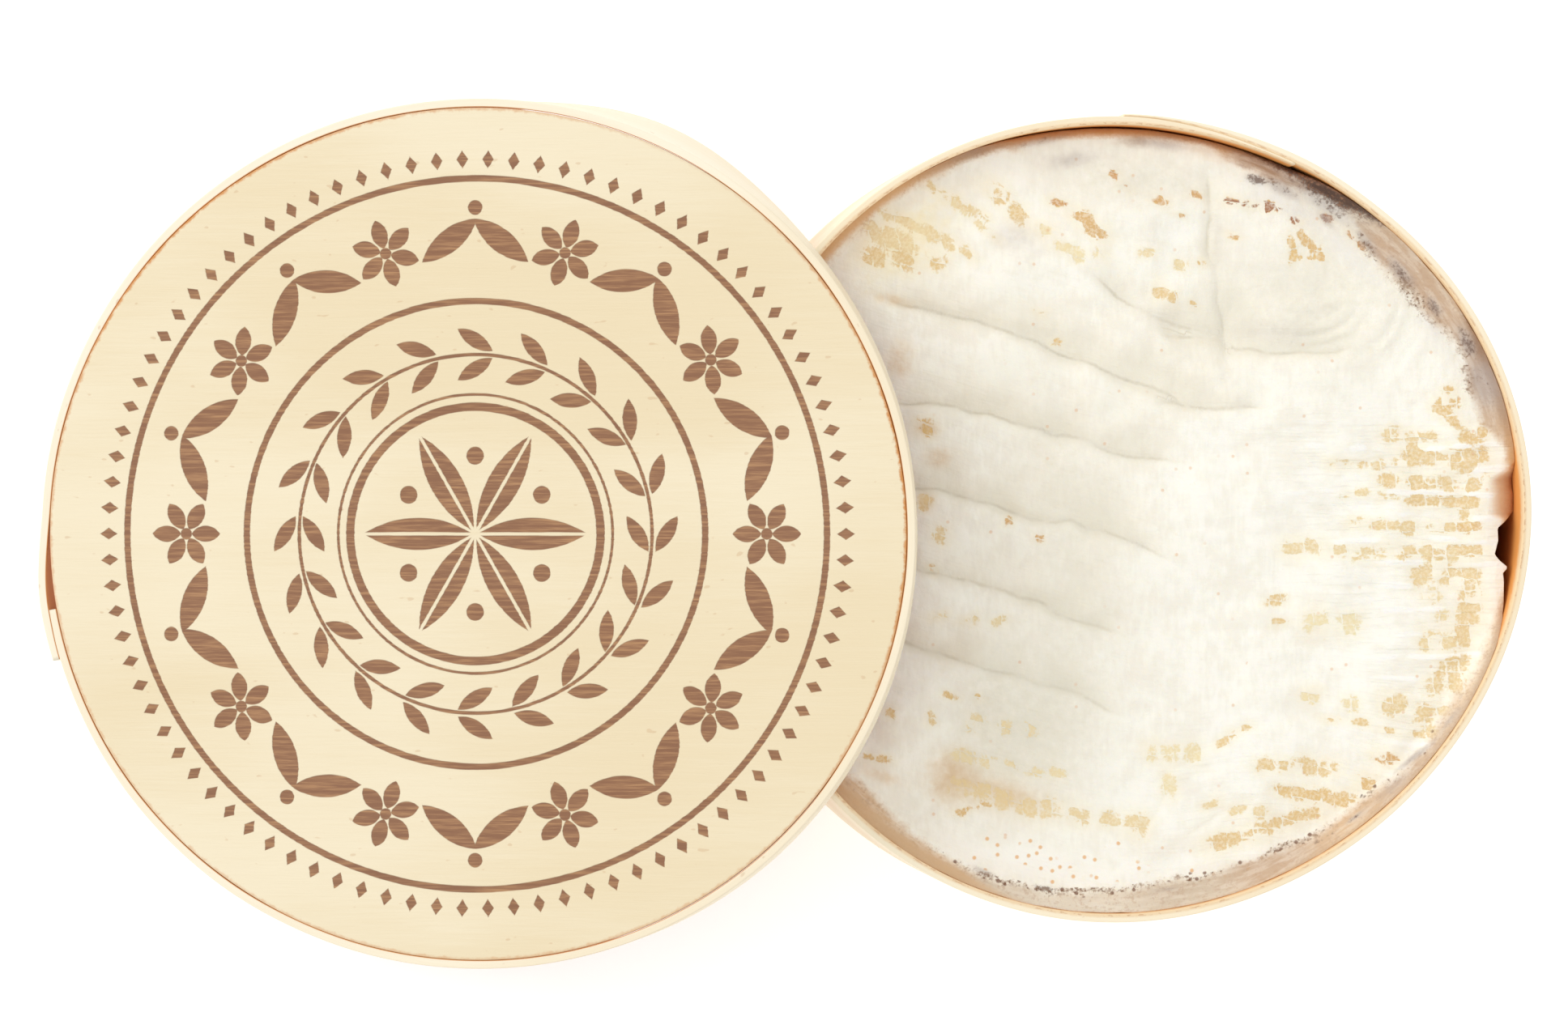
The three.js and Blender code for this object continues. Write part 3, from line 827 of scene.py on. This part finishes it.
# The crust of dark mould by the wall at the upper right: how wide it is at a bearing, below 0 for none
CRUST_BEARINGS = [46, 48, 50.5, 54, 59, 65, 71, 77]
CRUST_WIDTHS = [-1, 0.0, 0.7, 1.6, 1.6, 0.9, 0.3, -1]


def around_wall(degrees, stretches):
    """The numbers and the tone at the end of each stretch, interpolated at each bearing."""
    bearings = [stretch[0] for stretch in stretches]
    columns = [[*stretch[1:-1], *colour(*stretch[-1])[:3]] for stretch in stretches]
    found = [np.interp(degrees, bearings, column) for column in np.transpose(columns)]
    return *found[:-3], np.stack(found[-3:], axis=-1)


def stains_at(x, y):
    """The stains and the painted shade as layers of paint: each bell covers that share of what lies under
    it.
    Returns the tone of what was laid on, and how much of the rind it covers in all."""
    tone = np.zeros((len(x), 3))
    cover = np.zeros(len(x))
    for middle, half_long, half_wide, turned, strength, stain in STAINS_AND_SHADE:
        share = strength * bell(x, y, middle, half_long, half_wide, turned)
        tone = tone * (1 - share[:, None]) + share[:, None] * np.array(colour(*stain)[:3])
        cover = cover + share * (1 - cover)
    return tone / np.maximum(cover, 1e-6)[:, None], cover


def mould_and_shade_clouds(x, y):
    """How dark and how grey the mould and the painted shade are: the strongest of the clouds at each
    point.
    """
    dark = np.zeros_like(x)
    grey = np.zeros_like(x)
    for middle, half_long, half_wide, turned, darkness, greyness in MOULD_AND_SHADE_CLOUDS:
        cloud = bell(x, y, middle, half_long, half_wide, turned)
        dark = np.maximum(dark, darkness * cloud)
        grey = np.maximum(grey, greyness * cloud)
    return dark, grey


points, sunken = cheese_points()
x, y, up = points.T
bearing = np.degrees(np.arctan2(y, x))
from_wall = wall_inside(bearing, up) - np.hypot(x, y)
band_width, specked, band_tone = around_wall(bearing, SHOULDER)
corner_width, corner_tone = around_wall(bearing, CORNER_STAIN_AND_SHADE)
band = band_width + 0.45 * lumps(x, y, 3.4, 23) + 0.3 * lumps(x, y, 1.3, 24) - from_wall
bare, ripe, wash = bare_patches(x, y)
crease_distance, crease_strength, crease_banks = creases_at(x, y)
crease_strength = crease_strength * (1 - ease(np.abs(crease_distance), 0.8, 1.4))
border = np.exp(-(((band - 0.1) / (0.5 + 0.5 * near_bearing(bearing, 35, 32))) ** 2))
specked = specked * border * (0.75 + 0.45 * lumps(x, y, 3.0, 25))
dark_mould, grey_mould = mould_and_shade_clouds(x, y)
stain, stained = stains_at(x, y)
cheese = solid(
    "ripened_cheese",
    points + BOX_CENTRE,
    cheese_faces(len(points)),
    mat=np.stack([mat_columns(x, y), mat_rows(x, y), 0 * x], axis=-1),
    along_wall=np.stack([np.radians(bearing) * BOX_RADIUS, from_wall, 0 * x], axis=-1),
    band=band,
    band_tone=band_tone,
    corner=corner_width - from_wall,
    corner_tone=corner_tone,
    sunken=sunken,
    crust=np.interp(bearing, CRUST_BEARINGS, CRUST_WIDTHS) - from_wall,
    combed=combed_by_mat(x, y),
    bare=bare,
    ripe=ripe,
    wash=wash,
    crease=np.stack([crease_distance, *np.clip([crease_strength, crease_banks], 0, 1)], axis=-1),
    stain=stain,
    stained=stained,
    specked=specked,
    peppered=specked * ease(-y, 20, 34),
    dark_mould=dark_mould,
    grey_mould=grey_mould,
    dotted=bell(x, y, (-11, -45), 10, 2.4) + 0.4 * bell(x, y, (8, -47), 12, 3),
    threads=thread_ridge(x, y),
)

shader, place = finish(cheese, "white_mould_rind", 0.8)
shader.inputs["Subsurface Weight"].default_value = 0.3
shader.inputs["Subsurface Radius"].default_value = (1.0, 0.85, 0.6)
shader.inputs["Subsurface Scale"].default_value = 1.2 * MM


def dots(size, radius, chosen):
    """Round soft dots: the distance from the nearest of scattered points, where that point's own random
    number, raised by the amount chosen, comes close to 1."""
    cells = {"Vector": place, "Scale": 1 / size}
    flat = {"voronoi_dimensions": "2D"}
    distance = place.node("ShaderNodeTexVoronoi", flat, cells, 0)
    lot = place.node("ShaderNodeTexVoronoi", flat, cells, 1).part(0)
    return distance.ease(radius / size, 0.4 * radius / size) * (lot + chosen).ease(0.95, 0.99)


mat_place = place.kept("mat", 1)
wall_place = place.kept("along_wall", 1)
fuzz = place.noise(0.4, 3, 0.6)
grit = place.noise(1.1, 3, 0.6)
patchy = place.noise(2.6, 2)
cloud = place.noise(8, 3)
nap = place.scaled(1, 0.25, 1).noise(0.6, 2)
along_rows = mat_place.scaled(0.25, 1, 1).noise(0.9, 2)
streaks = wall_place.scaled(0.15, 1, 1).noise(0.7, 3, 0.6)

# White rind, cooler in clouds and the wrinkles of the mat, yellower round the bare patches, and darkened
# by painted shade in its creases
warm_white = colour(255, 251, 239)
cool_white = colour(246, 241, 228)
combed = place.kept("combed")
tone = 0.4 * cloud + 0.35 * patchy + 0.25 * (nap + (along_rows - nap) * combed)
rind = tone.ease(0.4, 0.58).mix(cool_white, warm_white)
yellowed = (place.kept("wash") * 1.2 + 0.35 * (patchy - 0.5)).ease(0.1, 0.9)
rind = (yellowed * 0.4).mix(rind, colour(247, 234, 204))
# Painted shade of the creases: greyer over the long bank above each line, darker in the line itself
crease = place.kept("crease", 1)
rind = (crease.part(2).ease(0.05, 0.9) * 0.55).mix(rind, colour(225, 218, 197))
lined = abs(crease.part(0) + 0.5 * (grit - 0.5)).ease(0.4, 0.0) * crease.part(1).ease(0.2, 0.8)
creased = lined * patchy.ease(0.3, 0.6)
rind = (creased * 0.4).mix(rind, colour(202, 191, 164))
# Stains, and the broad painted shade of the SHADED layers on the left, at the top and at the upper right
cover = place.kept("stained")
stained = (cover + (0.6 * patchy + 0.6 * grit - 0.6) * cover.ease(0, 0.5)).ease(0.0, 0.95)
rind = stained.mix(rind, place.kept("stain", 0))
threads = place.kept("threads")
rind = (threads.ease(0.3, 0.8) * 0.7).mix(rind, colour(254, 252, 245))

# Bare patches: soft ragged borders, uneven inside, and crossed by the white mesh of the mat
MESH_WIDE = 1.9
MESH_HIGH = 1.55
wavering = mat_place.vector("ADD", place.noise(1.5, 1))
knots = wavering.vector("SNAP", (MESH_WIDE, MESH_HIGH, 1))
lot = knots.node("ShaderNodeTexWhiteNoise", {"noise_dimensions": "3D"}, {"Vector": knots})
in_mesh = wavering.vector("SUBTRACT", knots)
across = abs(in_mesh.part(0) / MESH_WIDE - 0.5)
upward = abs(in_mesh.part(1) / MESH_HIGH - 0.5)
strand = across.math("MAXIMUM", upward).ease(0.36, 0.48)
woven = lot.ease(0.7, 0.74) * 0.5 + 0.45 * strand * lot.ease(0.1, 0.5)
uneven = place.kept("bare") + 0.45 * (grit - 0.5) + 0.9 * (fuzz - 0.5) - woven
patch = (uneven - 0.5 * threads).ease(0.12, 0.5) * (0.55 + 0.45 * fuzz.ease(0.36, 0.6))
ripe = place.kept("ripe")
straw = ripe.ease(0.0, 0.45).mix(colour(240, 225, 182), colour(226, 192, 130))
amber = ripe.ease(0.42, 0.75).mix(straw, colour(208, 156, 96))
patch_tone = ripe.ease(0.75, 1.0).mix(amber, colour(160, 102, 64))
skin = (patch * 0.95).mix(rind, patch_tone)

# Small orange dots everywhere, thick in the white strip along the lower edge
few = dots(1.9, 0.3, 0.0)
many = dots(1.45, 0.36, 0.7 * place.kept("dotted") - 0.1)
skin = (few * 0.5).mix(skin, colour(228, 182, 138))
skin = (many * 0.75).mix(skin, colour(230, 174, 104))

# The stained band: streaky along the wall, fading into white fuzz, and darkest in the very corner. On the
# left the band, and all round the corner's darkness, are partly painted shade
faded = place.kept("band") + (grit - 0.5) + 0.7 * (fuzz - 0.5)
inside_band = faded.ease(-0.6, 1.0)
mottled = (streaks.ease(0.42, 0.62) * 0.35).mix(place.kept("band_tone", 0), colour(242, 232, 216))
mottled = ((0.5 * grit + 0.5 * fuzz).ease(0.5, 0.62) * 0.4).mix(mottled, colour(186, 150, 118))
skin = (inside_band * 0.92).mix(skin, mottled)
# The corner right beside the wall, darkened partly by stain and partly by painted shade
corner = (place.kept("corner") + 0.6 * (streaks - 0.5) + 0.5 * (fuzz - 0.5)).ease(-0.6, 0.5)
skin = (corner * 0.9).mix(skin, place.kept("corner_tone", 0))

# Down the side the rind is painted beige, then brown, darker the further below the brow: painted shade of
# the slope and the gap by the wall, with some soaked stain
sunken = place.kept("sunken") + 0.3 * (grit - 0.5)
skin = (sunken.ease(0.0, 1.1) * 0.9).mix(skin, colour(222, 194, 160))
skin = (sunken.ease(0.7, 2.8) * 0.9).mix(skin, colour(198, 130, 70))

# Mould: grey and dark clouds, the grey partly painted shade, a rusty crust with a grey fringe, and brown
# specks along the band's border
grey_mould = place.kept("grey_mould")
grey = (grey_mould + 0.7 * (grit - 0.5) * grey_mould).ease(0.02, 0.6)
skin = (grey * 0.6).mix(skin, colour(176, 166, 162))
crust_reach = place.kept("crust")
fringe = (crust_reach + 1.0 + 1.4 * (grit - 0.5)).ease(0, 1.2) * (0.35 + 0.65 * fuzz.ease(0.4, 0.6))
skin = (fringe * 0.6).mix(skin, colour(156, 142, 134))
dark_mould = place.kept("dark_mould")
dark = (dark_mould + 1.1 * (fuzz - 0.5) + 0.7 * (grit - 0.5)).ease(0.35, 0.75)
dark = dark * dark_mould.ease(0.05, 0.35)
crust = (crust_reach + 1.6 * (fuzz - 0.5) + 1.2 * (grit - 0.5)).ease(-0.3, 0.6)
rusty = (0.5 * streaks + 0.5 * fuzz).ease(0.47, 0.64).mix(colour(68, 38, 24), colour(142, 98, 68))
skin = (dark * 0.75).mix(skin, colour(108, 82, 66))
skin = (crust * 0.92).mix(skin, rusty)
specked = place.kept("specked")
smudged = (0.5 * grit + 0.5 * fuzz + 0.2 * specked).ease(0.58, 0.74) * specked.ease(0.05, 0.6)
skin = (smudged * 0.6).mix(skin, colour(162, 136, 112))
speckled = (fuzz + 0.2 * specked).ease(0.7, 0.8) * specked.ease(0.1, 0.5)
skin = (speckled * 0.65).mix(skin, colour(116, 80, 54))
specks = dots(0.95, 0.36, 0.36 * place.kept("peppered") - 0.06)
skin = (specks * 0.8).mix(skin, colour(120, 78, 52))
skin.into(shader, "Base Color")

(0.82 - 0.2 * patch - 0.15 * inside_band).into(shader, "Roughness")
threaded = mat_place.scaled(0.2, 1, 1).noise(0.5, 3, 0.6) * combed
crossing = mat_place.scaled(1, 0.3, 1).noise(0.5, 2) * combed
wrinkled = abs(mat_place.scaled(0.13, 1, 1).noise(1.1, 2) - 0.5).ease(0.13, 0.0) * (0.3 + 0.7 * combed)
woollen = 0.05 * fuzz + 0.1 * grit + 0.03 * nap + 0.08 * threaded + 0.05 * crossing
relief(shader, woollen + 0.05 * wrinkled - 0.05 * patch - 0.04 * creased)
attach(cheese, "root")
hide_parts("cheese")

# The lid's wall is a shorter and wider lapped strip. The lid lies upside up, its left edge on the table
# and its lower edge on the rim of the box.
LID_RADIUS = 57.4
LID_OVALNESS = 0.6
LID_HEIGHT = 12
LID_LAP = {"start": 190, "length": 6.5, "rise": 14, "thinned": 0.1}
LEAN_SPAN = 100.9
REST_GAP = 0.3
LEAN = np.arcsin((BOX_HEIGHT + REST_GAP) / LEAN_SPAN)


def lid_outer(degrees):
    """Outer radius of the lid: its mean radius and an oval wave."""
    return LID_RADIUS + LID_OVALNESS * np.cos(np.radians(2 * degrees))


def lid_lean(degrees):
    """How far the foot of the lid's wall stands out: flared at the upper right, drawn in at the right."""
    return 1.7 * near_bearing(degrees, 66, 16) - 1.4 * near_bearing(degrees, 0, 45)


def propped(points):
    """Points of the flat lid turned about the Y axis by its lean and set down in their place."""
    cos, sin = np.cos(LEAN), np.sin(LEAN)
    turned = np.stack([points[..., 0] * cos - points[..., 2] * sin, points[..., 1]], axis=-1)
    raised = points[..., 0] * sin + points[..., 2] * cos
    return np.concatenate([turned, raised[..., None]], axis=-1) + LID_PLACE


rows, unrolled = bent_strip(lid_outer, LID_LAP, LID_HEIGHT, lid_lean)
LID_PLACE = np.array([-38.75, -0.1, -rows[..., 0].min() * np.sin(LEAN)])
lid_wall = solid("lid_wall", propped(rows), strip_faces(*rows.shape[:2]), unrolled=unrolled)
# The lid's veneer is painted darker than the box's, though it is the same wood: painted shade
lid_tones = colour(243, 233, 210), colour(237, 223, 194), colour(214, 148, 84)
veneer_finish(lid_wall, "bent_veneer_of_the_lid", *lid_tones, brow=LID_HEIGHT + 5, tint=0)
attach(lid_wall, "root")
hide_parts("lid_hoop")

# The lid's face is a veneer disc flush with the top of its wall, held by a tight fit. A brown ornament
# of a rosette, a wreath and a garland is burnt into it.
LID_SEAM = 0.06

plan = veneer_disc(lambda at: lid_outer(at) - VENEER - LID_SEAM, LID_HEIGHT - VENEER, LID_HEIGHT)
bearing = np.degrees(np.arctan2(plan[:, 1], plan[:, 0]))
from_seam = lid_outer(bearing) - VENEER - np.hypot(plan[:, 0], plan[:, 1])
stained = 0.5 + 0.6 * near_bearing(bearing, 135, 34) + 0.6 * near_bearing(bearing, 8, 34)
seam = np.stack([from_seam, stained - 0.45 * near_bearing(bearing, 57, 14), 0 * from_seam], axis=-1)
lid_face = solid("lid_face", propped(plan), disc_faces(len(plan)), plan=plan, seam=seam)
shader, place = finish(lid_face, "flat_veneer_with_burnt_ornament", 0.6)
flat = place.kept("plan", 1)
# The lid's face is painted darker still than its wall, though it is the same wood: painted shade
wood, fibres = bare_wood(flat, colour(235, 222, 192), colour(228, 211, 175))


def fold(radius, bearing, count):
    """One sector of a pattern repeated round a ring: distance out along its middle line, and aside."""
    sector = 2 * np.pi / count
    within = bearing - (bearing / sector).math("ROUND") * sector
    return radius * within.math("COSINE"), radius * within.math("SINE")


def far(a, b):
    """Length of the slanted side over two square ones."""
    return (a * a + b * b) ** 0.5


def leaf(along, aside, half_long, half_wide):
    """Distance outside a leaf between two equal arcs: to the far arc's centre, less the arc's radius."""
    radius = (half_long**2 + half_wide**2) / (2 * half_wide)
    return far(along, abs(aside) + (radius - half_wide)) - radius


lid_x, lid_y = flat.part(0), flat.part(1)
out = far(lid_x, lid_y)
around = lid_y.math("ARCTAN2", lid_x)

# The rings of the ornament: their radius and half their width
RINGS = [(16.6, 0.55), (18.2, 0.18), (30.4, 0.42), (46.4, 0.42)]
marks = [abs(out - radius) - half for radius, half in RINGS]

# A six-petalled rosette inside two rings, with a dot between each two petals
petal_out, petal_aside = fold(out, around, 6)
rosette = leaf(petal_out - 7.6, petal_aside, 7.2, 2.1)
gap_out, gap_aside = fold(out, around + np.pi / 6, 6)
marks += [rosette.math("MAXIMUM", 0.22 - abs(petal_aside)), far(gap_out - 10.2, gap_aside) - 1.15]

# A wreath of paired leaves on one stem
STEM_RADIUS = 23.4
wreath_out, wreath_aside = fold(out, around, 20)
pair_along, pair_aside = rotated(wreath_aside, abs(wreath_out - STEM_RADIUS) - 1.9, 32)
marks += [leaf(pair_along, pair_aside, 2.7, 0.95), abs(out - STEM_RADIUS) - 0.22]

# A garland of flowers and large leaves between two rings, then a border of small teeth
flower_out, flower_aside = fold(out, around, 10)
local_out = flower_out - 38.5
flower_radius = far(local_out, flower_aside)
bloom_out, bloom_aside = fold(flower_radius, flower_aside.math("ARCTAN2", local_out), 6)
marks += [leaf(bloom_out - 2.6, bloom_aside, 1.9, 1.05), flower_radius - 0.75]
leaf_out, leaf_aside = fold(out, around + np.pi / 10, 10)
branch_along, branch_aside = rotated(abs(leaf_aside) - 3.4, leaf_out - 38.3, -38)
marks += [leaf(branch_along, branch_aside, 4.6, 1.5), far(leaf_out - 42.6, leaf_aside) - 0.95]
tooth_aside = fold(out, around, 90)[1]
marks.append((abs(tooth_aside) * 1.5 + abs(out - 48.9) - 1.15) * 0.6)

ornament = marks[0]
for mark in marks[1:]:
    ornament = ornament.math("MINIMUM", mark)
top_only = flat.part(2).ease(LID_HEIGHT - 0.3, LID_HEIGHT - 0.1)
grainy = flat.scaled(0.08, 1, 1).noise(0.5, 3, 0.6)
burnt = (ornament + 0.22 * (grainy - 0.5)).ease(0.07, -0.07) * top_only
streaky = flat.scaled(0.05, 1, 1).noise(0.4, 3, 0.7)
ink = streaky.ease(0.4, 0.75).mix(colour(128, 80, 48), colour(176, 128, 84))
face = (burnt * 0.95).mix(wood, ink)

# The disc's edge is stained orange-brown along the seam, most at the upper left and on the right
seam_place = place.kept("seam", 1)
ragged = flat.noise(0.9, 3, 0.6)
seam_line = (seam_place.part(0) + 0.9 * (ragged - 0.5)).ease(0.55, 0.1) * seam_place.part(1)
face = (seam_line * 0.9).mix(face, colour(204, 136, 66))
edge_tone = flat.part(2).ease(LID_HEIGHT - 0.12, LID_HEIGHT - 0.25).mix(face, colour(206, 138, 74))
edge_tone.into(shader, "Base Color")
relief(shader, fibres - 0.06 * burnt)
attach(lid_face, "root")
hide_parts("lid_disc")

# The studio: a plain white floor, even white light all round, and one large soft lamp
FLOOR_HALF = 3.0
floor_mesh = bpy.data.meshes.new("floor")
corners = [(FLOOR_HALF * x, FLOOR_HALF * y, 0) for x, y in [(-1, -1), (1, -1), (1, 1), (-1, 1)]]
floor_mesh.from_pydata(corners, [], [(0, 1, 2, 3)])
floor = bpy.data.objects.new("floor", floor_mesh)
bpy.context.scene.collection.objects.link(floor)
floor_paint = bpy.data.materials.new("white_paper")
floor_paint.use_nodes = True
paper = floor_paint.node_tree.nodes["Principled BSDF"].inputs
paper["Base Color"].default_value = (0.9, 0.9, 0.9, 1)
paper["Emission Color"].default_value = (1, 1, 1, 1)
paper["Emission Strength"].default_value = 0.4
paper["Roughness"].default_value = 0.9
floor_mesh.materials.append(floor_paint)

world = bpy.data.worlds.new("white_room")
world.use_nodes = True
sky = world.node_tree.nodes["Background"].inputs
sky["Color"].default_value = (1, 1, 1, 1)
sky["Strength"].default_value = 0.88
bpy.context.scene.world = world

lamp_data = bpy.data.lights.new("key_lamp", "AREA")
lamp_data.size = 2.0
lamp_data.energy = 33.0
lamp = bpy.data.objects.new("key_lamp", lamp_data)
lamp.location = (-2.1, 1.25, 1.55)
lamp.rotation_mode = "QUATERNION"
lamp.rotation_quaternion = (-lamp.location).to_track_quat("-Z", "Y")
bpy.context.scene.collection.objects.link(lamp)

# The camera looks down from high above, a little from the left, through a long lens
VIEW_TILT = np.radians(7)
VIEW_DISTANCE = 1.2
AIM = Vector((-0.00112, 0.00328, 0.025))
camera_data = bpy.data.cameras.new("camera")
camera_data.sensor_width = 36
camera_data.lens = 209.9
camera = bpy.data.objects.new("camera", camera_data)
backwards = Vector((-float(np.sin(VIEW_TILT)), 0, float(np.cos(VIEW_TILT))))
camera.location = AIM + VIEW_DISTANCE * backwards
camera.rotation_euler = (0, -float(VIEW_TILT), 0)
bpy.context.scene.collection.objects.link(camera)
bpy.context.scene.camera = camera
bpy.context.scene.view_settings.view_transform = "Standard"
